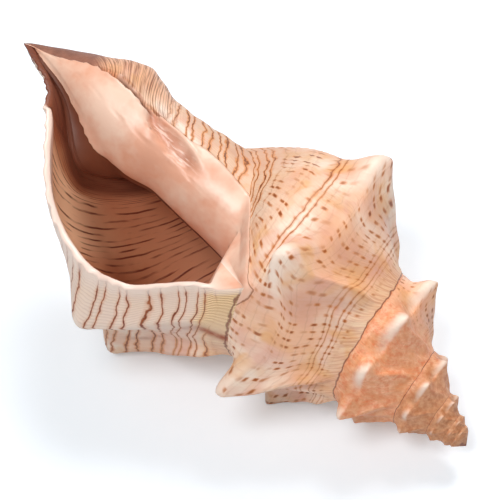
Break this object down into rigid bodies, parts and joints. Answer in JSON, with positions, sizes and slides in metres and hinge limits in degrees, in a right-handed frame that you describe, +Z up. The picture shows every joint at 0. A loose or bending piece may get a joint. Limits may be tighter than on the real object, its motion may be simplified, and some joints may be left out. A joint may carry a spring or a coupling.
{
  "type": "striped fox shell",
  "caption": "Large knobbed spiral sea shell, a horse conch, lying with its wide mouth up, a display piece with a long open canal.",
  "frame": {"origin": "middle of the shell's footprint, on the surface that it rests on", "axes": "+Z up as it lies with its mouth up; the apex points towards +X and -Y, low down, and the canal towards -X and +Y, raised"},
  "size_m": [0.1092, 0.09, 0.0641],
  "materials": {
    "shell_wall": "dry semi-gloss aragonite shell, pale peach with brown spiral lines, glazed at the mouth"
  },
  "bodies": {
    "root": {"shell": "shell_wall"}
  },
  "joints": []
}
